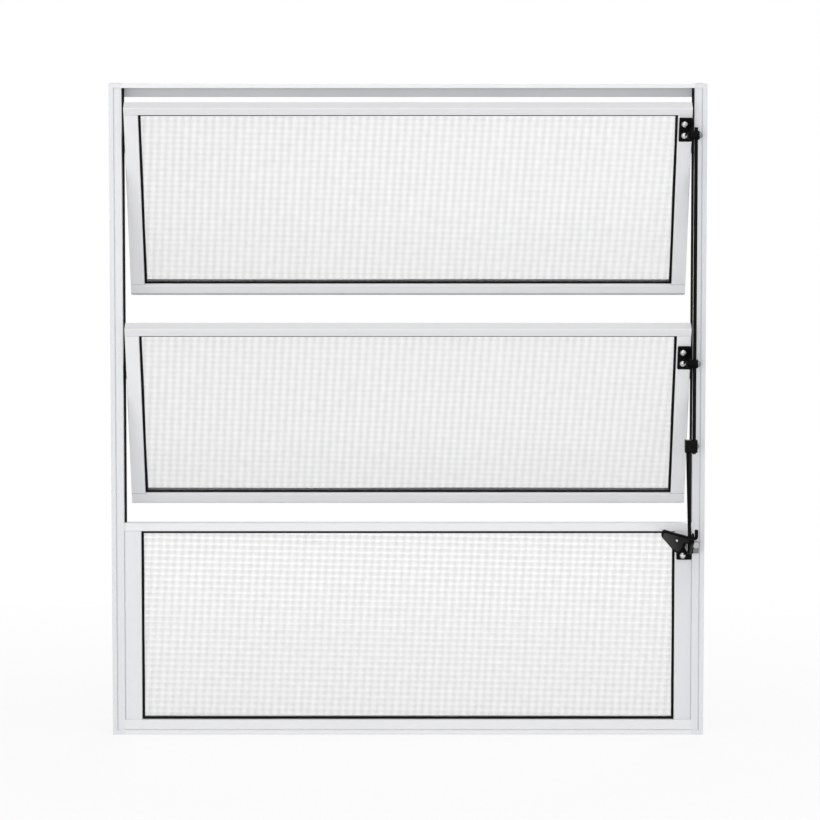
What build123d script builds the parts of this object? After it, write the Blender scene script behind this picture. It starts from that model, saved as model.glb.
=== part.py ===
from build123d import *
from math import cos, radians, sin
import os

# Awning window: two linked tilting sashes over one fixed light, in a white aluminium frame.
# Millimetres. X runs across the window, +Y points outdoors, +Z is up.
# The origin is the middle of the sill's underside, in the mid plane of the closed sashes.
# The sashes, rods and lever are modelled open, by REST_ANGLE.

# Outer frame
FRAME_W = 600.0
FRAME_H = 660.0
FRAME_FRONT = 11.0
FRAME_BACK = 27.0
FRAME_WALL = 1.5
JAMB_W = 12.5
LIP_W = 4.6
LIP_PROUD = 0.8
GROOVE_W = 0.9
GROOVE_DEPTH = 2.0
HEAD_FIN_H = 14.0
HEAD_FIN_Y = 12.0
SILL_H = 15.0
TRANSOM_TOP = 216.0
TRANSOM_H = 8.2

# Wall screws through each jamb
FIXING_HOLE_D = 5.0
FIXING_SPACING = 360.0
FIXING_Y = 20.0

# Bars of the sashes and of the fixed light
BAR_D = 14.0
BAR_WALL = 1.5
BAR_CORNER_R = 0.8
RAIL_NOSE_R = 3.0
RAIL_END_R = 2.5
SASH_STILE_W = 14.2
SASH_TOP_RAIL_H = 8.0
SASH_BOTTOM_RAIL_H = 12.6
FIXED_STILE_W = 17.2
DRIP_T = 1.5
DRIP_STANDOFF = 5.0
DRIP_H = 10.0

# Glass and its rubber channel
GLASS_T = 4.0
GASKET_T = 8.0
GASKET_BASE = 2.0
GASKET_SHOWS = 2.3
SASH_TOP_GASKET_SHOWS = 2.1
SASH_BOTTOM_GASKET_SHOWS = 1.3
STILE_GROOVE = 7.0
TOP_RAIL_GROOVE = 4.0
FIXED_STILE_GROOVE = 9.0
TRANSOM_GROOVE = 5.0
SILL_GROOVE = 9.0

# Running gaps
SIDE_GAP = 3.5
RAIL_GAP = 5.0
TURN_GAP = 0.3
BORE_GAP = 0.2
ROD_FIT = 0.05

# Seals along the jambs
SEAL_T = 3.0
SEAL_PROUD = 2.3
SEAL_Y = 1.0

# Tilting sashes
LOWER_SASH_H = 207.8
HEAD_LAP = 2.8
UPPER_PIVOT_DROP = 54.2
LOWER_PIVOT_DROP = 63.0
PIVOT_Y = 11.0
REST_ANGLE = 26.0
PIVOT_PIN_D = 6.0
PIVOT_PIN_BITE = 10.0
PIVOT_COLLAR_D = 10.0
PIVOT_COLLAR_W = 3.2
PIVOT_BLOCK_W = 12.0
PIVOT_BLOCK_H = 18.0
PIVOT_BLOCK_D = 9.0
PIVOT_BLOCK_R = 2.0

# Linkage: one crank vector, the same on both sashes and on the lever, taken with the sashes shut
CRANK_IN = 31.0
CRANK_UP = 30.7
ROD_D = 3.6
ROD_TOP_TAIL = 8.0
ROD_END_TAIL = 1.6
ROD_BEND_R = 2.4
ROD_LEAN_R = 12.0

# Brackets on the sashes
PLATE_T = 2.0
BRACKET_W = 13.0
BRACKET_H = 26.0
BRACKET_CORNER_R = 1.2
LUG_T = 2.5
LUG_R = 6.0
BRACKET_SCREW_X = 7.5
BRACKET_SCREW_PITCH = 12.6

# Swivels that join the upper rod to the brackets
SWIVEL_D = 9.0
SWIVEL_L = 6.4
JOURNAL_D = 5.0
SWIVEL_HEAD_D = 8.0
SWIVEL_HEAD_L = 2.3

# Screws with domed heads
SCREW_HEAD_D = 6.8
SCREW_HEAD_H = 2.4
SCREW_SHANK_D = 3.5
SCREW_FIT = 0.1

# Connector between the two rods
CONNECTOR_RISE = 89.6
CONNECTOR_H = 12.6
CONNECTOR_D = 11.0
CONNECTOR_MARGIN = 1.3
ROD_STEP = 6.2
LOWER_ROD_LEAD = 9.0

# Lever and its base on the fixed light's right stile
LEVER_DROP = 14.6
LEVER_STANDOFF = 12.0
LEVER_T = 2.0
LEVER_HUB_R = 7.0
LEVER_EYE_R = 5.5
LEVER_ARM_W = 10.0
LEVER_EYE_GAP = 0.7
CHEEK_T = 1.4
CHEEK_R = 6.5
BASE_W = 15.7
BASE_H = 22.5
BASE_DROP = 3.0
BASE_SCREW_X = 6.5
BASE_SCREW_PITCH = 14.0
BOLT_D = 6.0
BOLT_HEAD_D = 9.0
BOLT_HEAD_H = 2.4
NUT_FLATS = 11.5
NUT_L = 6.0
LEAF_T = 2.4
LEAF_STANDOFF = 14.0
LEAF_REACH = 30.0
LEAF_RISE = 8.0
LEAF_ROOT_H = 6.0
LEAF_TIP_H = 7.5
LEAF_TOP = 12.3
LEAF_BELLY_DROP = 16.0
LEAF_BELLY_REACH = 13.0
RIM_H = 3.0
RIM_D = 6.5

# Places that follow from the sizes above
half_w = FRAME_W / 2
jamb_in = half_w - JAMB_W
sash_edge = jamb_in - SIDE_GAP
front = -FRAME_FRONT
bar_front = -BAR_D / 2
bar_back = BAR_D / 2
gasket_y = GASKET_T / 2
transom_bottom = TRANSOM_TOP - TRANSOM_H
lower_bottom = TRANSOM_TOP + RAIL_GAP
lower_top = lower_bottom + LOWER_SASH_H
upper_bottom = lower_top + RAIL_GAP
upper_top = FRAME_H - HEAD_FIN_H + HEAD_LAP
upper_pivot_z = upper_top - UPPER_PIVOT_DROP
lower_pivot_z = lower_top - LOWER_PIVOT_DROP
tilt_c = cos(radians(REST_ANGLE))
tilt_s = sin(radians(REST_ANGLE))
crank_in_rest = CRANK_IN * tilt_c + CRANK_UP * tilt_s
crank_up_rest = CRANK_UP * tilt_c - CRANK_IN * tilt_s
rod_y = PIVOT_Y - crank_in_rest
upper_pin_z = upper_pivot_z + crank_up_rest
lower_pin_z = lower_pivot_z + crank_up_rest
swivel_x = sash_edge + TURN_GAP
rod_x = swivel_x + SWIVEL_L / 2
swivel_end = swivel_x + SWIVEL_L
lower_rod_x = rod_x - ROD_STEP
lever_y = bar_front - PLATE_T - LEVER_STANDOFF
lever_z = transom_bottom - LEVER_DROP
eye_y = lever_y - crank_in_rest
eye_z = lever_z + crank_up_rest
connector_z = eye_z + CONNECTOR_RISE
eye_bend = ROD_BEND_R
lever_x = lower_rod_x + eye_bend
hook_x = lever_x + LEVER_T + eye_bend


def block(x0, x1, y0, y1, z0, z1):
    return Pos((x0 + x1) / 2, (y0 + y1) / 2, (z0 + z1) / 2) * Box(x1 - x0, y1 - y0, z1 - z0)


def bar_across(x0, x1, y0, y1, z0, z1, corner):
    section = Plane.YZ * RectangleRounded(y1 - y0, z1 - z0, corner)
    return Pos(x0, (y0 + y1) / 2, (z0 + z1) / 2) * extrude(section, x1 - x0)


def bar_up(x0, x1, y0, y1, z0, z1, corner):
    section = RectangleRounded(x1 - x0, y1 - y0, corner)
    return Pos((x0 + x1) / 2, (y0 + y1) / 2, z0) * extrude(section, z1 - z0)


def rod_across(x0, x1, y, z, diameter):
    return Pos(x0, y, z) * extrude(Plane.YZ * Circle(diameter / 2), x1 - x0)


def section_across(points, x0, x1):
    return Pos(x0, 0, 0) * extrude(Plane.YZ * Polygon(*points, align=None), x1 - x0, dir=(1, 0, 0))


def section_back(points, y0, depth):
    return Pos(0, y0, 0) * extrude(Plane.XZ * Polygon(*points, align=None), depth, dir=(0, -1, 0))


def mirrored(shape):
    return mirror(shape, about=Plane.YZ)


def tilted(shape, pivot_z):
    return shape.rotate(Axis((0, PIVOT_Y, pivot_z), (1, 0, 0)), REST_ANGLE)


def dome(diameter, height):
    radius = (diameter * diameter / 4 + height * height) / (2 * height)
    ball = Pos(0, 0, height - radius) * Sphere(radius)
    return ball & Pos(0, 0, height / 2) * Box(diameter * 2, diameter * 2, height)


def pan_screw(shank):
    head = dome(SCREW_HEAD_D, SCREW_HEAD_H)
    slot = Pos(0, 0, SCREW_HEAD_H) * Box(SCREW_HEAD_D * 0.6, SCREW_SHANK_D * 0.22, SCREW_HEAD_H)
    head = head - slot - Rot(Z=90) * slot
    return head + Pos(0, 0, -shank / 2) * Cylinder(SCREW_SHANK_D / 2, shank)


def save(shape, node):
    export_step(shape, "parts/" + node + ".step")


os.makedirs("parts", exist_ok=True)

# Jambs: box tubes with a proud lip and a shadow groove on the room side
hole_zs = (FRAME_H / 2 - FIXING_SPACING / 2, FRAME_H / 2 + FIXING_SPACING / 2)
right_jamb = block(jamb_in, half_w, front, FRAME_BACK, 0, FRAME_H)
right_jamb -= block(
    jamb_in + FRAME_WALL, half_w - FRAME_WALL,
    front + GROOVE_DEPTH + FRAME_WALL, FRAME_BACK - FRAME_WALL, 0, FRAME_H,
)
face_edge = half_w - LIP_W - GROOVE_W
right_jamb -= block(jamb_in, face_edge, front, front + LIP_PROUD, LIP_W, FRAME_H - LIP_W)
right_jamb -= block(face_edge, half_w - LIP_W, front, front + GROOVE_DEPTH, LIP_W, FRAME_H - LIP_W)
for hole_z in hole_zs:
    right_jamb -= rod_across(jamb_in, half_w, FIXING_Y, hole_z, FIXING_HOLE_D)
save(right_jamb, "frame_right_jamb")
save(mirrored(right_jamb), "frame_left_jamb")

# Head: a thin channel whose long outer fin is the stop that the upper sash closes against
head_in = FRAME_H - FRAME_WALL
head = section_across(
    [
        (front, FRAME_H), (front, FRAME_H - LIP_W), (front + FRAME_WALL, FRAME_H - LIP_W),
        (front + FRAME_WALL, head_in), (HEAD_FIN_Y, head_in), (HEAD_FIN_Y, FRAME_H - HEAD_FIN_H),
        (HEAD_FIN_Y + FRAME_WALL, FRAME_H - HEAD_FIN_H), (HEAD_FIN_Y + FRAME_WALL, head_in),
        (FRAME_BACK - FRAME_WALL, head_in), (FRAME_BACK - FRAME_WALL, FRAME_H - LIP_W),
        (FRAME_BACK, FRAME_H - LIP_W), (FRAME_BACK, FRAME_H),
    ],
    -jamb_in, jamb_in,
)
save(head, "frame_head")

# Sill: a hollow rail with the glazing groove in its top
fixed_stile_in = jamb_in - FIXED_STILE_W
fixed_groove_x = fixed_stile_in + FIXED_STILE_GROOVE
sill = block(-jamb_in, jamb_in, front, FRAME_BACK, 0, SILL_H)
sill -= block(-jamb_in, jamb_in, front, front + LIP_PROUD, LIP_W + GROOVE_W, SILL_H)
sill -= block(-jamb_in, jamb_in, front, front + GROOVE_DEPTH, LIP_W, LIP_W + GROOVE_W)
sill -= block(-fixed_groove_x, fixed_groove_x, -gasket_y, gasket_y, SILL_H - SILL_GROOVE, SILL_H)
sill -= block(
    -jamb_in, jamb_in, gasket_y + FRAME_WALL, FRAME_BACK - FRAME_WALL, FRAME_WALL, SILL_H - FRAME_WALL
)
save(sill, "frame_sill")

# Transom over the fixed light
transom = bar_across(-jamb_in, jamb_in, bar_front, bar_back, transom_bottom, TRANSOM_TOP, BAR_CORNER_R)
transom -= block(
    -fixed_groove_x, fixed_groove_x, -gasket_y, gasket_y, transom_bottom, transom_bottom + TRANSOM_GROOVE
)
save(transom, "frame_transom")

# Stiles of the fixed light
fixed_stile = bar_up(
    fixed_stile_in, jamb_in, bar_front, bar_back, SILL_H, transom_bottom, BAR_CORNER_R
)
fixed_stile -= block(fixed_stile_in, fixed_groove_x, -gasket_y, gasket_y, SILL_H, transom_bottom)
fixed_stile -= block(
    fixed_groove_x + BAR_WALL, jamb_in - BAR_WALL,
    bar_front + BAR_WALL, bar_back - BAR_WALL, SILL_H, transom_bottom,
)
save(fixed_stile, "fixed_right_stile")
save(mirrored(fixed_stile), "fixed_left_stile")


# A glass pane and the rubber channel that wraps its edges
def glazing(groove_x, groove_bottom, groove_top, open_x, open_bottom, open_top, bottom_shows, top_shows):
    pane = block(
        -groove_x + GASKET_BASE, groove_x - GASKET_BASE, -GLASS_T / 2, GLASS_T / 2,
        groove_bottom + GASKET_BASE, groove_top - GASKET_BASE,
    )
    channel = block(-groove_x, groove_x, -gasket_y, gasket_y, groove_bottom, groove_top)
    channel -= block(
        -open_x + GASKET_SHOWS, open_x - GASKET_SHOWS, -gasket_y, gasket_y,
        open_bottom + bottom_shows, open_top - top_shows,
    )
    return pane, channel - pane


fixed_glass, fixed_gasket = glazing(
    fixed_groove_x, SILL_H - SILL_GROOVE, transom_bottom + TRANSOM_GROOVE,
    fixed_stile_in, SILL_H, transom_bottom, GASKET_SHOWS, GASKET_SHOWS,
)
save(fixed_glass, "fixed_glass")
save(fixed_gasket, "fixed_gasket")

# Seal strips along the jambs, from the transom to the head
seal = bar_up(
    jamb_in - SEAL_PROUD, jamb_in, SEAL_Y, SEAL_Y + SEAL_T, TRANSOM_TOP, FRAME_H - LIP_W, SEAL_T * 0.2
)
save(seal, "right_jamb_seal")
save(mirrored(seal), "left_jamb_seal")

# Pivot pins with collars, fixed to the jambs
pins = []
for pivot_z in (upper_pivot_z, lower_pivot_z):
    pin = rod_across(sash_edge - PIVOT_PIN_BITE, jamb_in, PIVOT_Y, pivot_z, PIVOT_PIN_D)
    pin += rod_across(jamb_in - PIVOT_COLLAR_W, jamb_in, PIVOT_Y, pivot_z, PIVOT_COLLAR_D)
    pins += [pin, mirrored(pin)]
save(Compound(children=pins), "pivot_pins")


# One tilting sash, built shut: rails run the full width and the stiles stand between them
def make_sash(name, bottom, top, pivot_z):
    stile_in = sash_edge - SASH_STILE_W
    groove_x = stile_in + STILE_GROOVE
    rail_top = bottom + SASH_BOTTOM_RAIL_H
    rail_under = top - SASH_TOP_RAIL_H

    top_rail = bar_across(-sash_edge, sash_edge, bar_front, bar_back, rail_under, top, BAR_CORNER_R)
    top_rail -= block(
        -groove_x, groove_x, -gasket_y, gasket_y, rail_under, rail_under + TOP_RAIL_GROOVE
    )
    save(tilted(top_rail, pivot_z), name + "_top_rail")

    # The bottom rail has a round nose and carries a drip fin that hangs outside the next rail down
    bottom_rail = bar_across(
        -sash_edge, sash_edge, bar_front, bar_back, bottom, rail_top, BAR_CORNER_R
    )
    bottom_rail &= bar_across(
        -sash_edge, sash_edge, bar_front, bar_back, bottom, rail_top + SASH_BOTTOM_RAIL_H, RAIL_NOSE_R
    )
    rail_face = Plane.XZ * RectangleRounded(2 * sash_edge, 2 * SASH_BOTTOM_RAIL_H, RAIL_END_R)
    bottom_rail &= Pos(0, 0, rail_top) * extrude(rail_face, BAR_D, both=True)
    bottom_rail -= block(
        -groove_x, groove_x, -gasket_y, gasket_y, rail_top - STILE_GROOVE, rail_top
    )
    bottom_rail -= block(
        -sash_edge, sash_edge, bar_front + BAR_WALL, bar_back - BAR_WALL,
        bottom + BAR_WALL, rail_top - STILE_GROOVE - BAR_WALL,
    )
    drip_y = bar_back + DRIP_STANDOFF
    bottom_rail += block(
        -sash_edge, sash_edge, bar_back - BAR_WALL, drip_y + DRIP_T,
        bottom + BAR_CORNER_R, bottom + BAR_CORNER_R + DRIP_T,
    )
    bottom_rail += block(
        -sash_edge, sash_edge, drip_y, drip_y + DRIP_T, bottom - DRIP_H, bottom + BAR_CORNER_R + DRIP_T
    )
    save(tilted(bottom_rail, pivot_z), name + "_bottom_rail")

    stile = bar_up(stile_in, sash_edge, bar_front, bar_back, rail_top, rail_under, BAR_CORNER_R)
    stile -= block(stile_in, groove_x, -gasket_y, gasket_y, rail_top, rail_under)
    stile -= block(
        groove_x + BAR_WALL, sash_edge - BAR_WALL,
        bar_front + BAR_WALL, bar_back - BAR_WALL, rail_top, rail_under,
    )
    save(tilted(stile, pivot_z), name + "_right_stile")
    save(tilted(mirrored(stile), pivot_z), name + "_left_stile")

    pane, channel = glazing(
        groove_x, rail_top - STILE_GROOVE, rail_under + TOP_RAIL_GROOVE,
        stile_in, rail_top, rail_under, SASH_BOTTOM_GASKET_SHOWS, SASH_TOP_GASKET_SHOWS,
    )
    save(tilted(pane, pivot_z), name + "_glass")
    save(tilted(channel, pivot_z), name + "_gasket")

    # Pivot blocks on the outer faces of the stiles, bored for the pins
    pivot_block = bar_across(
        sash_edge - PIVOT_BLOCK_W, sash_edge, bar_back, bar_back + PIVOT_BLOCK_D,
        pivot_z - PIVOT_BLOCK_H / 2, pivot_z + PIVOT_BLOCK_H / 2, PIVOT_BLOCK_R,
    )
    pivot_block -= rod_across(
        sash_edge - PIVOT_BLOCK_W, sash_edge, PIVOT_Y, pivot_z, PIVOT_PIN_D + 2 * BORE_GAP
    )
    blocks = [tilted(pivot_block, pivot_z), tilted(mirrored(pivot_block), pivot_z)]
    save(Compound(children=blocks), name + "_pivot_blocks")

    # Angle bracket on the right stile: a screwed plate and a lug for the swivel
    pin_y = PIVOT_Y - CRANK_IN
    pin_z = pivot_z + CRANK_UP
    plate_x = sash_edge - BRACKET_W / 2
    plate = extrude(Plane.XZ * RectangleRounded(BRACKET_W, BRACKET_H, BRACKET_CORNER_R), PLATE_T)
    plate = Pos(plate_x, bar_front, pin_z) * plate
    lug = block(
        sash_edge - LUG_T, sash_edge, pin_y, bar_front - PLATE_T / 2, pin_z - LUG_R, pin_z + LUG_R
    )
    lug += rod_across(sash_edge - LUG_T, sash_edge, pin_y, pin_z, 2 * LUG_R)
    bracket = plate + lug
    bracket -= rod_across(sash_edge - LUG_T, sash_edge, pin_y, pin_z, JOURNAL_D + 2 * BORE_GAP)
    screw_x = sash_edge - BRACKET_SCREW_X
    screws = []
    for screw_z in (pin_z - BRACKET_SCREW_PITCH / 2, pin_z + BRACKET_SCREW_PITCH / 2):
        place = Pos(screw_x, bar_front - PLATE_T, screw_z) * Rot(X=90)
        bracket -= place * Cylinder(SCREW_SHANK_D / 2 + SCREW_FIT, 4 * PLATE_T)
        screws.append(tilted(place * pan_screw(PLATE_T), pivot_z))
    save(tilted(bracket, pivot_z), name + "_bracket")
    save(Compound(children=screws), name + "_bracket_screws")


make_sash("upper", upper_bottom, upper_top, upper_pivot_z)
make_sash("lower", lower_bottom, lower_top, lower_pivot_z)

# Upper rod, straight down past both brackets
rod_hole_d = ROD_D + 2 * ROD_FIT
rod_bottom = connector_z - CONNECTOR_H / 2 - ROD_END_TAIL
rod_top = upper_pin_z + ROD_TOP_TAIL
upper_rod = Pos(rod_x, rod_y, rod_bottom) * extrude(Circle(ROD_D / 2), rod_top - rod_bottom)
save(upper_rod, "upper_rod")

# Swivels: a cross-drilled stud on the rod, turning in the bracket's lug, with a domed clamp screw
clamp_screws = []
for node, pin_z in (("upper_swivel", upper_pin_z), ("lower_swivel", lower_pin_z)):
    swivel = rod_across(swivel_x, swivel_end, rod_y, pin_z, SWIVEL_D)
    swivel += rod_across(sash_edge - LUG_T - TURN_GAP, swivel_x, rod_y, pin_z, JOURNAL_D)
    head_x = sash_edge - LUG_T - TURN_GAP
    swivel += rod_across(head_x - SWIVEL_HEAD_L, head_x, rod_y, pin_z, SWIVEL_HEAD_D)
    swivel -= Pos(rod_x, rod_y, pin_z) * Cylinder(rod_hole_d / 2, 2 * SWIVEL_D)
    save(swivel, node)
    clamp_screws.append(Pos(swivel_end, rod_y, pin_z) * Rot(Y=90) * dome(SCREW_HEAD_D, 1.5 * SCREW_HEAD_H))
save(Compound(children=clamp_screws), "swivel_screws")

# Lower rod: leans towards the room and hooks through the lever's eye
lower_rod_path = FilletPolyline(
    (lower_rod_x, rod_y, connector_z + CONNECTOR_H / 3),
    (lower_rod_x, rod_y, connector_z - LOWER_ROD_LEAD),
    (lower_rod_x, eye_y, eye_z),
    (hook_x, eye_y, eye_z),
    (hook_x, eye_y, eye_z + LOWER_ROD_LEAD),
    radius=[ROD_LEAN_R, ROD_BEND_R, ROD_BEND_R],
)
lower_rod_start = Plane(origin=lower_rod_path @ 0, z_dir=lower_rod_path % 0)
lower_rod = sweep(lower_rod_start * Circle(ROD_D / 2), path=lower_rod_path)
save(lower_rod, "lower_rod")

# Connector block that clamps both rods
connector_end = rod_x + ROD_D / 2 + CONNECTOR_MARGIN
connector = bar_across(
    lower_rod_x - ROD_D / 2 - CONNECTOR_MARGIN, connector_end,
    rod_y - CONNECTOR_D / 2, rod_y + CONNECTOR_D / 2,
    connector_z - CONNECTOR_H / 2, connector_z + CONNECTOR_H / 2, CONNECTOR_MARGIN,
)
connector -= Pos(rod_x, rod_y, connector_z) * Cylinder(rod_hole_d / 2, 2 * CONNECTOR_H)
lower_socket = CONNECTOR_H / 2 + CONNECTOR_H / 3
connector -= Pos(lower_rod_x, rod_y, connector_z - CONNECTOR_H / 2) * extrude(
    Circle(rod_hole_d / 2), lower_socket
)
save(connector, "rod_connector")
connector_screw = Pos(connector_end, rod_y, connector_z) * Rot(Y=90) * dome(SCREW_HEAD_D, SCREW_HEAD_H)
save(connector_screw, "connector_screw")

# Lever base: a plate screwed to the fixed stile, with two cheeks for the bolt
base_x = jamb_in - BASE_W / 2
base_z = lever_z - BASE_DROP
cheek_left = lever_x - TURN_GAP - CHEEK_T
cheek_right = lever_x + LEVER_T + TURN_GAP
base = extrude(Plane.XZ * RectangleRounded(BASE_W, BASE_H, BRACKET_CORNER_R), PLATE_T)
base = Pos(base_x, bar_front, base_z) * base
for cheek_x in (cheek_left, cheek_right):
    cheek = block(
        cheek_x, cheek_x + CHEEK_T, lever_y, bar_front - PLATE_T / 2, lever_z - CHEEK_R, lever_z + CHEEK_R
    )
    base += cheek + rod_across(cheek_x, cheek_x + CHEEK_T, lever_y, lever_z, 2 * CHEEK_R)
base -= rod_across(cheek_left, cheek_right + CHEEK_T, lever_y, lever_z, BOLT_D + 2 * SCREW_FIT)
base_screws = []
for screw_z in (base_z - BASE_SCREW_PITCH / 2, base_z + BASE_SCREW_PITCH / 2):
    place = Pos(jamb_in - BASE_W + BASE_SCREW_X, bar_front - PLATE_T, screw_z) * Rot(X=90)
    base -= place * Cylinder(SCREW_SHANK_D / 2 + SCREW_FIT, 4 * PLATE_T)
    base_screws.append(place * pan_screw(PLATE_T))
save(base, "lever_base")
save(Compound(children=base_screws), "lever_base_screws")

# Bolt that the lever turns on, and its nut
nut_x = cheek_right + CHEEK_T
bolt = rod_across(cheek_left, nut_x + NUT_L, lever_y, lever_z, BOLT_D)
bolt += Pos(cheek_left, lever_y, lever_z) * Rot(Y=-90) * dome(BOLT_HEAD_D, BOLT_HEAD_H)
save(bolt, "lever_bolt")
nut_section = Plane.YZ * RegularPolygon(NUT_FLATS / 2, 6, major_radius=False)
nut = Pos(nut_x, lever_y, lever_z) * extrude(nut_section, NUT_L)
nut -= rod_across(nut_x, nut_x + NUT_L, lever_y, lever_z, BOLT_D)
save(nut, "lever_nut")

# Lever: hub, arm with the rod's eye, and a leaf-shaped thumb plate with a thick upper rim
arm_c = -crank_in_rest / (crank_in_rest ** 2 + crank_up_rest ** 2) ** 0.5
arm_s = crank_up_rest / (crank_in_rest ** 2 + crank_up_rest ** 2) ** 0.5
side = LEVER_ARM_W / 2
arm = section_across(
    [
        (lever_y - side * arm_s, lever_z + side * arm_c), (eye_y - side * arm_s, eye_z + side * arm_c),
        (eye_y + side * arm_s, eye_z - side * arm_c), (lever_y + side * arm_s, lever_z - side * arm_c),
    ],
    lever_x, lever_x + LEVER_T,
)
lever = arm + rod_across(lever_x, lever_x + LEVER_T, lever_y, lever_z, 2 * LEVER_HUB_R)
lever += rod_across(lever_x, lever_x + LEVER_T, eye_y, eye_z, 2 * LEVER_EYE_R)
leaf_back = lever_y - LEAF_STANDOFF
leaf_root_x = lever_x + LEVER_T / 2
leaf_root_top = lever_z + LEAF_TOP
leaf_tip_x = leaf_root_x - LEAF_REACH
leaf_tip_top = leaf_root_top + LEAF_RISE
leaf_belly_x = leaf_root_x - LEAF_BELLY_REACH
leaf_belly_z = leaf_root_top - LEAF_BELLY_DROP
leaf_neck_z = leaf_root_top - LEAF_ROOT_H
leaf_points = [
    (leaf_root_x, leaf_root_top), (leaf_tip_x + LEAF_T, leaf_tip_top),
    (leaf_tip_x, leaf_tip_top - LEAF_T), (leaf_tip_x, leaf_tip_top - LEAF_TIP_H),
    (leaf_belly_x - LEAF_T, leaf_belly_z), (leaf_belly_x + LEAF_T, leaf_belly_z),
    (leaf_root_x - LEAF_BELLY_REACH / 2, leaf_neck_z), (leaf_root_x, leaf_neck_z),
]
lever += section_back(leaf_points, leaf_back, LEAF_T)
rim_points = [
    (leaf_root_x, leaf_root_top), (leaf_tip_x + LEAF_T, leaf_tip_top),
    (leaf_tip_x + LEAF_T, leaf_tip_top - RIM_H), (leaf_root_x, leaf_root_top - RIM_H),
]
lever += section_back(rim_points, leaf_back, RIM_D)
lever -= rod_across(lever_x, lever_x + LEVER_T, lever_y, lever_z, BOLT_D + 2 * BORE_GAP)
lever -= rod_across(lever_x, lever_x + LEVER_T, eye_y, eye_z, ROD_D + 2 * LEVER_EYE_GAP)
save(lever, "lever")
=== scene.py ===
from math import cos, pi, radians, sin

import bmesh
import bpy
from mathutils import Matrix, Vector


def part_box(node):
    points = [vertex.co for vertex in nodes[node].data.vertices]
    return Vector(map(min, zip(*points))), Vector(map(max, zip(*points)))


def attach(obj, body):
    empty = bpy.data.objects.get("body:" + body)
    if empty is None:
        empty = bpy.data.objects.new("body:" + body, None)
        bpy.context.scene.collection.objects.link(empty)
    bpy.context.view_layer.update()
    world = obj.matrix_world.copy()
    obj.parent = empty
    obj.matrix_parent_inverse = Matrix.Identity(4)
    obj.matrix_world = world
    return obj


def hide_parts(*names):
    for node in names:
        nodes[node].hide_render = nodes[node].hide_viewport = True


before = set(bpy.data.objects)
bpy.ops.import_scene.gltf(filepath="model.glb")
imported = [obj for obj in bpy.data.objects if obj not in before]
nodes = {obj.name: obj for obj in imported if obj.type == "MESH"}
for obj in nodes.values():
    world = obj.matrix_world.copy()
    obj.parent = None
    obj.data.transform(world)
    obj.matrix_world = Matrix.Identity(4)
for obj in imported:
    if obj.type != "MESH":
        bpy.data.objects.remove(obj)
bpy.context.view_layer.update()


# Bars of the frame, the fixed light and both sashes.
# Aluminium extrusions, sawn square, screwed at the corners and powder-coated white.
# The coat has a fine peel and draw lines; painted shade greys the head's channel, the rails' drip edges and
# the stiles' seam ends, and each member's copy of the coat is lighter or darker as painted light and shade.
def place(tree, kind, sockets=None, **settings):
    new = tree.nodes.new("ShaderNode" + kind)
    for name, value in settings.items():
        setattr(new, name, value)
    for name, value in (sockets or {}).items():
        if isinstance(value, bpy.types.NodeSocket):
            tree.links.new(value, new.inputs[name])
        else:
            new.inputs[name].default_value = value
    return new


def calc(tree, operation, *values):
    return place(tree, "Math", dict(enumerate(values)), operation=operation).outputs["Value"]


def spread(tree, value, at_low, at_high, low=0.0, high=1.0):
    limits = {"From Min": low, "From Max": high, "To Min": at_low, "To Max": at_high}
    return place(tree, "MapRange", {"Value": value, **limits}).outputs["Result"]


def spot(tree):
    return place(tree, "TexCoord").outputs["Object"]


def shades(tree, mask, *stops):
    ramp = place(tree, "ValToRGB", {"Fac": mask})
    for element, (position, colour) in zip(ramp.color_ramp.elements, stops):
        element.position = position
        element.color = (*colour, 1)
    return ramp.outputs["Color"]


def new_finish(name):
    finish = bpy.data.materials.new(name)
    finish.use_nodes = True
    return finish, finish.node_tree, finish.node_tree.nodes["Principled BSDF"]


def toned_down(finish, mask, colour):
    # The Mix node's colour sockets go by number: factor 0, colours 6 and 7, result 2
    tree, shader = finish.node_tree, finish.node_tree.nodes["Principled BSDF"]
    full = shader.inputs["Base Color"].links[0].from_socket
    tone = place(tree, "Mix", {0: mask, 6: full, 7: (*colour, 1)}, data_type="RGBA")
    tree.links.new(tone.outputs[2], shader.inputs["Base Color"])


def wear(finish, *names):
    for name in names:
        for slot in nodes[name].material_slots:
            slot.material = finish


broad_share = 0.04
grain = bpy.data.node_groups.new("surface_grain", "ShaderNodeTree")
grain.interface.new_socket("Scale", in_out="INPUT", socket_type="NodeSocketFloat")
grain.interface.new_socket("Stretch", in_out="INPUT", socket_type="NodeSocketVector")
grain.interface.new_socket("Fine", in_out="OUTPUT", socket_type="NodeSocketFloat")
grain.interface.new_socket("Broad", in_out="OUTPUT", socket_type="NodeSocketFloat")
grain_in = grain.nodes.new("NodeGroupInput")
grain_out = grain.nodes.new("NodeGroupOutput")
stretched = place(
    grain, "VectorMath", {0: spot(grain), 1: grain_in.outputs["Stretch"]}, operation="MULTIPLY"
).outputs["Vector"]
broad_scale = calc(grain, "MULTIPLY", grain_in.outputs["Scale"], broad_share)
for label, scale, detail in (("Fine", grain_in.outputs["Scale"], 3.0), ("Broad", broad_scale, 2.0)):
    noise = place(grain, "TexNoise", {"Vector": stretched, "Scale": scale, "Detail": detail})
    grain.links.new(noise.outputs["Fac"], grain_out.inputs[label])


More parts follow.
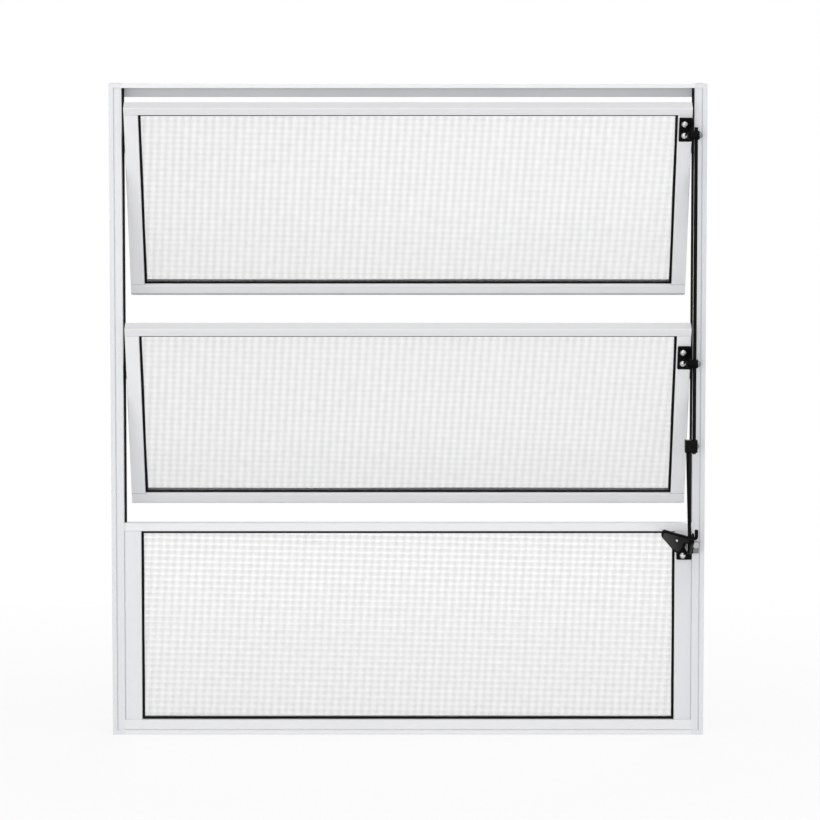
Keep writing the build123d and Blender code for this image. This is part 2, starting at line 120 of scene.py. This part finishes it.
def powder_coat(name, light, dark, draw):
    coat, tree, shader = new_finish(name)
    peel = place(tree, "Group", {"Scale": 700.0, "Stretch": (1, 1, 1)}, node_tree=grain)
    lines = place(tree, "Group", {"Scale": 420.0, "Stretch": draw}, node_tree=grain)
    tone = shades(tree, lines.outputs["Broad"], (0.36, dark), (0.62, light))
    tree.links.new(tone, shader.inputs["Base Color"])
    tree.links.new(spread(tree, peel.outputs["Broad"], 0.34, 0.5), shader.inputs["Roughness"])
    height = calc(tree, "ADD", peel.outputs["Fine"], lines.outputs["Fine"])
    bump = place(tree, "Bump", {"Height": height, "Strength": 0.12, "Distance": 0.0004})
    tree.links.new(bump.outputs["Normal"], shader.inputs["Normal"])
    return coat


along_x, along_z = (0.02, 1, 1), (1, 1, 0.02)
# Painted light and shade: each member has its own copy of the white coat, lighter or darker for how the
# lamps fall on it.
bar_coat = powder_coat("white_coat_frame", (0.81, 0.815, 0.83), (0.77, 0.775, 0.79), along_x)
wear(bar_coat, "frame_sill", "frame_transom", "upper_top_rail", "lower_top_rail")
# Painted shade: a darker copy for the jambs and fixed stiles.
jamb_coat = powder_coat("white_coat_jambs", (0.77, 0.78, 0.80), (0.73, 0.74, 0.765), along_z)
wear(jamb_coat, "frame_left_jamb", "frame_right_jamb", "fixed_left_stile", "fixed_right_stile")

# Painted shade: a grey mixed into the coat deep in the head's channel, on the sash rails' drip edges and at
# the stiles' ends by the rail seams.
painted_shade_grey = (0.2, 0.22, 0.25)
channel_front, channel_deep, channel_shade, head_top = -0.004, 0.0, 0.4, 0.6588
# Painted light and shade on the head: a lighter copy of the coat, greyed towards the back of its channel
# below the top.
head_coat = powder_coat("white_coat_head", (0.85, 0.855, 0.865), (0.81, 0.815, 0.83), along_x)
tree = head_coat.node_tree
head_axes = place(tree, "SeparateXYZ", {"Vector": spot(tree)})
inward = spread(tree, head_axes.outputs["Y"], 0.0, channel_shade, channel_front, channel_deep)
under_top = calc(tree, "LESS_THAN", head_axes.outputs["Z"], head_top)
toned_down(head_coat, calc(tree, "MULTIPLY", inward, under_top), painted_shade_grey)
wear(head_coat, "frame_head")

sash_turn, pivot_y = radians(26), 0.011
upper_pivot, lower_pivot = 0.5946, 0.3658


# Painted shade: greys a sash member's coat by amount below end, fading to none at full.
def painted_shade_end(coat, pivot_z, end, full, amount):
    # Heights are those of the shut sash, measured along the tilted bars
    tree = coat.node_tree
    up_sash = (0, -sin(sash_turn), cos(sash_turn))
    height = place(tree, "VectorMath", {0: spot(tree), 1: up_sash}, operation="DOT_PRODUCT")
    shut = pivot_z * cos(sash_turn) - pivot_y * sin(sash_turn) - pivot_z
    mask = spread(tree, height.outputs["Value"], amount, 0.0, end + shut, full + shut)
    toned_down(coat, mask, painted_shade_grey)


# Painted shade bands on the sashes: fully shaded up to, clear from, and how much grey.
drip_shaded_to, drip_clear_from = 0.0023, 0.0035
seam_shaded_to, seam_clear_from, seam_shade_amount = 0.0003, 0.0006, 0.6
for level, pivot_z, rail_low, rail_high, drip_shade_amount in (
    ("upper", upper_pivot, 0.4338, 0.4464, 0.6), ("lower", lower_pivot, 0.2210, 0.2336, 0.2),
):
    # Painted light: lighter copies of the coat for the bottom rails and the sash stiles.
    rail_coat = powder_coat(
        "white_coat_" + level + "_rail", (0.86, 0.863, 0.875), (0.82, 0.823, 0.835), along_x
    )
    # Painted shade along the bottom rail's drip edge.
    painted_shade_end(rail_coat, pivot_z, rail_low + drip_shaded_to, rail_low + drip_clear_from, drip_shade_amount)
    wear(rail_coat, level + "_bottom_rail")
    stile_coat = powder_coat(
        "white_coat_" + level + "_stiles", (0.875, 0.88, 0.895), (0.835, 0.84, 0.86), along_z
    )
    # Painted shade at the stiles' ends by the rail seam.
    painted_shade_end(stile_coat, pivot_z, rail_high + seam_shaded_to, rail_high + seam_clear_from, seam_shade_amount)
    wear(stile_coat, level + "_left_stile", level + "_right_stile")


# Glazing channels round the three panes.
# Black extruded rubber, pressed into the bars' grooves and cut at the corners.
def grained_finish(
    name, scale, tones, gloss, bump, stretch=(1, 1, 1), tone_mask="Broad", gloss_mask="Broad"
):
    finish, tree, shader = new_finish(name)
    skin = place(tree, "Group", {"Scale": scale, "Stretch": stretch}, node_tree=grain)
    tone = shades(tree, skin.outputs[tone_mask], *tones)
    tree.links.new(tone, shader.inputs["Base Color"])
    tree.links.new(spread(tree, skin.outputs[gloss_mask], *gloss), shader.inputs["Roughness"])
    strength, distance = bump
    relief = place(
        tree, "Bump", {"Height": skin.outputs["Fine"], "Strength": strength, "Distance": distance}
    )
    tree.links.new(relief.outputs["Normal"], shader.inputs["Normal"])
    return finish, shader


rubber, shader = grained_finish(
    "glazing_rubber", 900.0, ((0.35, (0.003, 0.003, 0.003)), (0.7, (0.008, 0.008, 0.008))),
    gloss=(0.55, 0.8), bump=(0.2, 0.0003),
)
shader.inputs["Specular IOR Level"].default_value = 0.06
wear(rubber, "fixed_gasket", "upper_gasket", "lower_gasket")

# Panes of the fixed light and of both sashes.
# Rolled glass, 4 mm, with small pillows pressed into the room side; the rubber holds their edges.
# One pillow is modelled, arrayed in leaning rows and cut to each pane's size.
pillow_w, pillow_h, pillow_rise = 0.0077, 0.00615, 0.0005
row_lean, column_drop = 0.00043, 0.00012
glass_half = 0.002
across_phase, up_phase, crown = -0.6, 0.9, (0.0955, 0.857)
across_weight, cloud_weight, relief_reach = 1.7, 3.0, 3.0

relief_glass, tree, shader = new_finish("patterned_glass")
cell = place(tree, "UVMap", uv_map="UVMap")
cell_axes = place(tree, "SeparateXYZ", {"Vector": cell.outputs["UV"]})
# Painted light and shade on the pillows: the colour is darker in the hollows between them and lighter on
# their crowns, with a random cloud of unevenness mixed in.
across = calc(tree, "COSINE", calc(tree, "MULTIPLY_ADD", cell_axes.outputs["X"], 2 * pi, across_phase))
upward = calc(tree, "COSINE", calc(tree, "MULTIPLY_ADD", cell_axes.outputs["Y"], 2 * pi, up_phase))
pillow = calc(tree, "MULTIPLY_ADD", across, across_weight, upward)
cloud = place(tree, "Group", {"Scale": 130.0, "Stretch": (1, 1, 1)}, node_tree=grain).outputs["Fine"]
uneven = calc(tree, "MULTIPLY_ADD", cloud, cloud_weight, -cloud_weight / 2)
relief = spread(tree, calc(tree, "ADD", pillow, uneven), 0.0, 1.0, -relief_reach, relief_reach)
tone = shades(tree, relief, (0.0, (0.685, 0.688, 0.688)), (1.0, (0.925, 0.93, 0.93)))
tree.links.new(tone, shader.inputs["Base Color"])
tree.links.new(spread(tree, cloud, 0.12, 0.2), shader.inputs["Roughness"])
shader.inputs["Transmission Weight"].default_value = 0.88
shader.inputs["IOR"].default_value = 1.5
path = place(tree, "LightPath")
clear = place(tree, "BsdfTransparent", {"Color": (0.9, 0.92, 0.92, 1)})
passing = place(
    tree, "MixShader",
    {0: path.outputs["Is Shadow Ray"], 1: shader.outputs["BSDF"], 2: clear.outputs["BSDF"]},
)
tree.links.new(passing.outputs["Shader"], tree.nodes["Material Output"].inputs["Surface"])


def pick(obj, test):
    mesh = bmesh.from_edit_mesh(obj.data)
    for face in mesh.faces:
        face.select = False
    for edge in mesh.edges:
        edge.select = False
    for vertex in mesh.verts:
        vertex.select = test(vertex.co)
    mesh.select_flush(True)
    bmesh.update_edit_mesh(obj.data)


def select_only(piece):
    bpy.ops.object.select_all(action="DESELECT")
    piece.select_set(True)
    bpy.context.view_layer.objects.active = piece


def patterned_pane(name, half_width, bottom, top):
    spare, left_spare, low_spare = 0.012, 0.018, 0.002
    columns = int(2 * (half_width + spare) / pillow_w) + 2
    rows = int((top - bottom + spare) / pillow_h) + 2
    left, low = -half_width - left_spare, bottom - low_spare
    bpy.ops.object.select_all(action="DESELECT")
    bpy.ops.mesh.primitive_grid_add(x_subdivisions=4, y_subdivisions=4, size=1)
    pane = bpy.context.object
    pane.name = name
    bpy.ops.object.mode_set(mode="EDIT")
    bpy.ops.mesh.select_mode(type="VERT")
    bpy.ops.transform.resize(value=(pillow_w, pillow_h, 1))
    # The pillow's middle is raised in three steps, then its rows lean and its columns drop
    pick(pane, lambda p: abs(p.x) < 0.3 * pillow_w and abs(p.y) < 0.3 * pillow_h)
    bpy.ops.transform.translate(value=(0, 0, 0.55 * pillow_rise))
    pick(pane, lambda p: abs(p.x) + abs(p.y) < 0.3 * pillow_h)
    bpy.ops.transform.translate(value=(0, 0, 0.2 * pillow_rise))
    pick(pane, lambda p: abs(p.x) + abs(p.y) < 0.1 * pillow_h)
    bpy.ops.transform.translate(value=(0, 0, 0.25 * pillow_rise))
    for step in (-2, -1, 1, 2):
        pick(pane, lambda p: abs(p.y - step * pillow_h / 4) < 0.1 * pillow_h)
        bpy.ops.transform.translate(value=(step * row_lean / 4, 0, 0))
    for step in (-2, -1, 1, 2):
        pick(pane, lambda p: abs(p.x - p.y * row_lean / pillow_h - step * pillow_w / 4) < 0.1 * pillow_w)
        bpy.ops.transform.translate(value=(0, -step * column_drop / 4, 0))
    bpy.ops.object.mode_set(mode="OBJECT")
    for label, count, offset in (
        ("columns", columns, (pillow_w, -column_drop, 0)), ("rows", rows, (row_lean, pillow_h, 0)),
    ):
        repeat = pane.modifiers.new(label, "ARRAY")
        repeat.count = count
        repeat.use_relative_offset = False
        repeat.use_constant_offset = True
        repeat.constant_offset_displace = offset
        repeat.use_merge_vertices = True
        repeat.merge_threshold = 0.00005
        bpy.ops.object.modifier_apply(modifier=label)
    bpy.ops.object.mode_set(mode="EDIT")
    bpy.ops.mesh.select_all(action="SELECT")
    bpy.ops.transform.translate(value=(left, columns * column_drop + low, glass_half - pillow_rise))
    for edge, outward in (
        ((half_width, 0, 0), (1, 0, 0)), ((-half_width, 0, 0), (-1, 0, 0)),
        ((0, top, 0), (0, 1, 0)), ((0, bottom, 0), (0, -1, 0)),
    ):
        bpy.ops.mesh.select_all(action="SELECT")
        bpy.ops.mesh.bisect(plane_co=edge, plane_no=outward, clear_outer=True)
    # The rim is drawn back to the flat outdoor side and closed; that side takes the one tone of the crowns'
    # painted light
    bpy.ops.mesh.select_mode(type="EDGE")
    bpy.ops.mesh.select_all(action="DESELECT")
    bpy.ops.mesh.select_non_manifold()
    bpy.ops.mesh.extrude_edges_move(TRANSFORM_OT_translate={"value": (0, 0, -2 * glass_half)})
    bpy.ops.transform.resize(value=(1, 1, 0), center_override=(0, 0, -glass_half))
    bpy.ops.mesh.edge_face_add()
    mesh = bmesh.from_edit_mesh(pane.data)
    cell_map = mesh.loops.layers.uv.active
    for corner in max(mesh.faces, key=lambda face: face.calc_area()).loops:
        corner[cell_map].uv = crown
    bpy.ops.mesh.select_all(action="SELECT")
    bpy.ops.mesh.normals_make_consistent(inside=False)
    bpy.ops.object.mode_set(mode="OBJECT")
    pane.rotation_euler = (pi / 2, 0, 0)
    bpy.ops.object.transform_apply(location=True, rotation=True, scale=True)
    bpy.ops.object.shade_smooth_by_angle(angle=radians(30))
    pane.data.materials.append(relief_glass)
    return pane


def tilt(piece, pivot_z):
    across, along = cos(sash_turn), sin(sash_turn)
    piece.location = (
        0, pivot_y - pivot_y * across + pivot_z * along, pivot_z - pivot_y * along - pivot_z * across
    )
    piece.rotation_euler = (sash_turn, 0, 0)
    select_only(piece)
    bpy.ops.object.transform_apply(location=True, rotation=True, scale=True)


fixed_pane = patterned_pane("fixed_pane", half_width=0.2773, bottom=0.0080, top=0.2108)
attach(fixed_pane, "window_frame")
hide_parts("fixed_glass")
upper_pane = patterned_pane("upper_pane", half_width=0.2748, bottom=0.4414, top=0.6428)
tilt(upper_pane, upper_pivot)
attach(upper_pane, "upper_sash")
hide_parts("upper_glass")
lower_pane = patterned_pane("lower_pane", half_width=0.2748, bottom=0.2286, top=0.4228)
tilt(lower_pane, lower_pivot)
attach(lower_pane, "lower_sash")
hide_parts("lower_glass")

# Seal strips along both jambs.
# Black woven pile on a backing, slid into the jambs' inner faces.
pile, shader = grained_finish(
    "seal_pile", 1500.0, ((0.3, (0.004, 0.004, 0.004)), (0.75, (0.03, 0.03, 0.03))),
    gloss=(0.75, 0.98), bump=(0.6, 0.0006), stretch=(0.15, 0.15, 1), tone_mask="Fine", gloss_mask="Fine",
)
shader.inputs["Specular IOR Level"].default_value = 0.05
wear(pile, "left_jamb_seal", "right_jamb_seal")

# Pivot blocks on the sash stiles.
# Moulded white nylon, with a faint flow pattern, bored for the pins.
nylon, shader = grained_finish(
    "pivot_nylon", 300.0, ((0.3, (0.76, 0.76, 0.74)), (0.7, (0.84, 0.84, 0.83))),
    gloss=(0.42, 0.58), bump=(0.1, 0.0003), gloss_mask="Fine",
)
wear(nylon, "upper_pivot_blocks", "lower_pivot_blocks")

# Brackets, swivels, rods, connector and lever base.
# Pressed and turned steel, painted satin black, with a slightly uneven film.
black_paint, shader = grained_finish(
    "black_paint", 800.0, ((0.3, (0.002, 0.002, 0.002)), (0.7, (0.005, 0.005, 0.005))),
    gloss=(0.3, 0.48), bump=(0.15, 0.0003),
)
shader.inputs["Specular IOR Level"].default_value = 0.04
wear(black_paint, "upper_bracket", "lower_bracket", "upper_rod", "lower_rod", "rod_connector")
wear(black_paint, "upper_swivel", "lower_swivel", "lever_base")


# Pins, screws, bolt and nut.
# Cold-headed and turned steel, zinc-plated.
# The plating is bright on pins and fixing screws, and duller on clamp screws, bolt and nut.
def zinc_plate(name, dark, light):
    zinc, shader = grained_finish(
        name, 600.0, ((0.3, dark), (0.7, light)), gloss=(0.2, 0.36), bump=(0.08, 0.0002), gloss_mask="Fine"
    )
    shader.inputs["Metallic"].default_value = 1.0
    return zinc


bright_zinc = zinc_plate("bright_zinc", (0.44, 0.45, 0.46), (0.62, 0.62, 0.61))
dull_zinc = zinc_plate("dull_zinc", (0.19, 0.2, 0.21), (0.27, 0.27, 0.27))
wear(bright_zinc, "pivot_pins", "upper_bracket_screws", "lower_bracket_screws", "lever_base_screws")
wear(dull_zinc, "swivel_screws", "connector_screw", "lever_bolt", "lever_nut")


# Hand lever: an arm that turns on the bolt, with an eye for the rod's hook, and a thumb plate across it.
# Pressed steel, painted black; the leaf-shaped thumb plate has a raised rim and a grained grey face.
# A bright rivet fixes the plate to the arm's return.
def pick_faces(obj, test):
    bpy.ops.mesh.select_mode(type="FACE")
    mesh = bmesh.from_edit_mesh(obj.data)
    for face in mesh.faces:
        face.select_set(test(face.calc_center_median(), face.normal))
    bmesh.update_edit_mesh(obj.data)


def finish_with(piece, kind, **settings):
    select_only(piece)
    step = piece.modifiers.new(kind.lower(), kind)
    for name, value in settings.items():
        setattr(step, name, value)
    bpy.ops.object.modifier_apply(modifier=step.name)


def round_bar(name, radius, length, centre, corners=48):
    bpy.ops.object.select_all(action="DESELECT")
    bpy.ops.mesh.primitive_cylinder_add(
        vertices=corners, radius=radius, depth=length, location=centre, rotation=(0, pi / 2, 0)
    )
    bpy.ops.object.transform_apply(location=True, rotation=True, scale=True)
    bar = bpy.context.object
    bar.name = name
    return bar


def drill(piece, radius, length, centre):
    cutter = round_bar("cutter", radius, length, centre)
    finish_with(piece, "BOOLEAN", object=cutter, operation="DIFFERENCE", solver="EXACT")
    bpy.data.objects.remove(cutter)


lever_axis, rod_eye = (0.2847, -0.021, 0.1932), (0.2847, -0.0623206, 0.2072035)
arm_t, hub_r, eye_r = 0.002, 0.007, 0.00549
bolt_bore_r, hook_bore_r, arm_edge = 0.0032, 0.0025, 0.0003
lever_arm = round_bar("lever_arm", hub_r, arm_t, lever_axis)
bpy.ops.object.mode_set(mode="EDIT")
bpy.ops.mesh.primitive_cylinder_add(
    vertices=48, radius=eye_r, depth=arm_t, location=rod_eye, rotation=(0, pi / 2, 0)
)
bpy.ops.mesh.select_all(action="SELECT")
bpy.ops.mesh.convex_hull()
bpy.ops.mesh.dissolve_limited(angle_limit=radians(2))
bpy.ops.object.mode_set(mode="OBJECT")
drill(lever_arm, bolt_bore_r, 4 * arm_t, lever_axis)
drill(lever_arm, hook_bore_r, 4 * arm_t, rod_eye)
finish_with(lever_arm, "BEVEL", width=arm_edge, segments=2, limit_method="ANGLE", angle_limit=radians(40))
bpy.ops.object.shade_smooth_by_angle(angle=radians(35))
lever_arm.data.materials.append(black_paint)
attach(lever_arm, "hand_lever")

leaf_y, leaf_t, leaf_edge, leaf_corner_r = -0.035, 0.0024, 0.0004, 0.0017
leaf_corners = (
    (0.2847, 0.2055), (0.2571, 0.2135), (0.2547, 0.2111), (0.2547, 0.2060),
    (0.2693, 0.1895), (0.2741, 0.1895), (0.2782, 0.1995), (0.2847, 0.1995),
)
rounded_to_x = 0.276
face_share, face_centre, face_sink = (0.87, 1, 0.8), (0.2665, leaf_y, 0.1975), 0.0008
rim_w, rim_depth, rim_slope, rim_end_x = 0.0016, 0.0036, 0.29, 0.284
bpy.ops.object.select_all(action="DESELECT")
bpy.ops.mesh.primitive_circle_add(vertices=8, radius=0.01, fill_type="NGON")
lever_leaf = bpy.context.object
lever_leaf.name = "lever_leaf"
bpy.ops.object.mode_set(mode="EDIT")
outline = bmesh.from_edit_mesh(lever_leaf.data)
for corner, (x, z) in zip(outline.verts, leaf_corners):
    corner.co = (x, leaf_y, z)
bmesh.update_edit_mesh(lever_leaf.data)
bpy.ops.mesh.select_mode(type="VERT")
pick(lever_leaf, lambda p: p.x < rounded_to_x)
bpy.ops.mesh.bevel(offset=leaf_corner_r, segments=4, affect="VERTICES")
bpy.ops.mesh.select_all(action="SELECT")
bpy.ops.mesh.extrude_region_move(TRANSFORM_OT_translate={"value": (0, -leaf_t, 0)})
bpy.ops.mesh.select_all(action="SELECT")
bpy.ops.mesh.normals_make_consistent(inside=False)
pick_faces(lever_leaf, lambda c, n: n.y < -0.9)
bpy.ops.mesh.extrude_region_move()
bpy.ops.transform.resize(value=face_share, center_override=face_centre)
bpy.ops.mesh.extrude_region_move(TRANSFORM_OT_translate={"value": (0, face_sink, 0)})
rim_x, rim_z = leaf_corners[0]
pick_faces(
    lever_leaf,
    lambda c, n: n.y < -0.9 and c.y < leaf_y - 0.9 * leaf_t and c.x < rim_end_x
    and c.z > rim_z + (rim_x - c.x) * rim_slope - rim_w,
)
bpy.ops.mesh.extrude_region_move(TRANSFORM_OT_translate={"value": (0, -rim_depth, 0)})
bpy.ops.object.mode_set(mode="OBJECT")
finish_with(lever_leaf, "BEVEL", width=leaf_edge, segments=3, limit_method="ANGLE", angle_limit=radians(40))
bpy.ops.object.shade_smooth_by_angle(angle=radians(40))

grey_to_x, black_from_x, black_share = 0.258, 0.273, 0.94
leaf_grey, shader = grained_finish(
    "lever_grey", 1400.0, ((0.35, (0.04, 0.04, 0.041)), (0.7, (0.075, 0.075, 0.077))),
    gloss=(0.5, 0.7), bump=(0.35, 0.0003), tone_mask="Fine", gloss_mask="Fine",
)
shader.inputs["Specular IOR Level"].default_value = 0.2
tree = leaf_grey.node_tree
along = place(tree, "SeparateXYZ", {"Vector": spot(tree)})
painted = spread(tree, along.outputs["X"], 0.0, black_share, grey_to_x, black_from_x)
toned_down(leaf_grey, painted, (0.002, 0.002, 0.002))
lever_leaf.data.materials.append(black_paint)
lever_leaf.data.materials.append(leaf_grey)
bpy.ops.object.mode_set(mode="EDIT")
face_y = leaf_y - leaf_t + face_sink
pick_faces(lever_leaf, lambda c, n: n.y < -0.9 and abs(c.y - face_y) < 0.0001)
lever_leaf.active_material_index = 1
bpy.ops.object.material_slot_assign()
bpy.ops.object.mode_set(mode="OBJECT")
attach(lever_leaf, "hand_lever")
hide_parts("lever")

rivet_r, rivet_h, rivet_x, rivet_z = 0.0015, 0.0009, 0.2705, 0.2022
bpy.ops.object.select_all(action="DESELECT")
bpy.ops.mesh.primitive_uv_sphere_add(segments=24, ring_count=12, radius=rivet_r, rotation=(pi / 2, 0, 0))
rivet = bpy.context.object
rivet.name = "lever_rivet"
bpy.ops.object.transform_apply(location=True, rotation=True, scale=True)
bpy.ops.object.mode_set(mode="EDIT")
bpy.ops.mesh.select_all(action="SELECT")
bpy.ops.mesh.bisect(plane_co=(0, 0, 0), plane_no=(0, 1, 0), clear_outer=True, use_fill=True)
bpy.ops.mesh.select_all(action="SELECT")
bpy.ops.transform.resize(value=(1, rivet_h / rivet_r, 1))
bpy.ops.transform.translate(value=(rivet_x, face_y, rivet_z))
bpy.ops.object.mode_set(mode="OBJECT")
bpy.ops.object.shade_smooth_by_angle(angle=radians(40))
rivet.data.materials.append(bright_zinc)
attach(rivet, "hand_lever")

# Nut on the lever's bolt.
# A hexagonal steel nut with turned corners on both ends, zinc-plated.
turned_share, turned_edge = 0.97, 0.0011
nut_low, nut_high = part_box("lever_nut")
nut_l, nut_r = nut_high.x - nut_low.x, (nut_high.y - nut_low.y) / 2
nut_centre = ((nut_low.x + nut_high.x) / 2, lever_axis[1], lever_axis[2])
nut = round_bar("lever_nut_hex", nut_r, nut_l, nut_centre, corners=6)
turned = round_bar("turned", turned_share * nut_r, nut_l, nut_centre)
finish_with(turned, "BEVEL", width=turned_edge, segments=2, limit_method="ANGLE", angle_limit=radians(60))
finish_with(nut, "BOOLEAN", object=turned, operation="INTERSECT", solver="EXACT")
bpy.data.objects.remove(turned)
drill(nut, bolt_bore_r, 2 * nut_l, nut_centre)
bpy.ops.object.shade_smooth_by_angle(angle=radians(25))
nut.data.materials.append(dull_zinc)
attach(nut, "window_frame")
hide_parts("lever_nut")


# Floor that the window stands on.
# A pale sheet, white to the camera, that keeps the soft shadow near the window and fades out round it.
def seen(tree):
    path = place(tree, "LightPath")
    direct = calc(tree, "MAXIMUM", path.outputs["Is Camera Ray"], path.outputs["Is Glossy Ray"])
    return calc(tree, "MAXIMUM", direct, path.outputs["Is Transmission Ray"])


near_white, near_reach, far_reach = 0.84, 0.4, 1.1
bpy.ops.object.select_all(action="DESELECT")
bpy.ops.mesh.primitive_plane_add(size=40, location=(0, 0, -0.0005))
floor = bpy.context.object
floor.name = "floor"
floor_white, tree, shader = new_finish("floor_white")
shader.inputs["Base Color"].default_value = (0.9, 0.9, 0.9, 1)
shader.inputs["Roughness"].default_value = 0.9
reach = place(tree, "VectorMath", {0: spot(tree)}, operation="LENGTH")
fade = spread(tree, reach.outputs["Value"], near_white, 1.0, near_reach, far_reach)
white = place(tree, "Emission", {"Color": (1, 1, 1, 1), "Strength": 1.0})
blend = place(
    tree, "MixShader",
    {0: calc(tree, "MULTIPLY", seen(tree), fade), 1: shader.outputs["BSDF"], 2: white.outputs["Emission"]},
)
tree.links.new(blend.outputs["Shader"], tree.nodes["Material Output"].inputs["Surface"])
floor.data.materials.append(floor_white)

# Light: a white surround, one broad lamp in front and weaker ones overhead and behind.
# The surround lights the window softly and shows as full white; the lamps don't show through the glass.
world = bpy.data.worlds.new("studio")
bpy.context.scene.world = world
world.use_nodes = True
tree = world.node_tree
soft = place(tree, "Background", {"Color": (1, 1, 1, 1), "Strength": 0.46})
backdrop = place(tree, "Background", {"Color": (1, 1, 1, 1), "Strength": 1.0})
surround = place(
    tree, "MixShader",
    {0: seen(tree), 1: soft.outputs["Background"], 2: backdrop.outputs["Background"]},
)
tree.links.new(surround.outputs["Shader"], tree.nodes["World Output"].inputs["Surface"])


def lamp(name, at, turn, size, power):
    bpy.ops.object.light_add(type="AREA", location=at, rotation=[radians(angle) for angle in turn])
    light = bpy.context.object
    light.name = name
    light.data.shape = "RECTANGLE"
    light.data.size, light.data.size_y = size
    light.data.energy = power
    light.visible_transmission = False


lamp("front_lamp", at=(-0.4, -3.0, 0.55), turn=(88, 0, -8), size=(3.0, 1.2), power=34)
lamp("top_lamp", at=(0.2, -0.9, 2.6), turn=(20, 0, 0), size=(2.0, 2.0), power=20)
lamp("back_lamp", at=(0.6, 2.8, 1.3), turn=(72, 0, 168), size=(2.0, 1.4), power=24)

# Camera at the photograph's viewing angle.
aim, distance, lift = (0.002, 0.0, 0.3305), 3.95, radians(5.4)
bpy.ops.object.camera_add(
    location=(aim[0], aim[1] - distance * cos(lift), aim[2] + distance * sin(lift)),
    rotation=(pi / 2 - lift, 0, 0),
)
camera = bpy.context.object
camera.data.sensor_width = 36.0
camera.data.lens = 171.4
camera.data.clip_end = 100.0
bpy.context.scene.camera = camera
bpy.context.scene.view_settings.view_transform = "Standard"
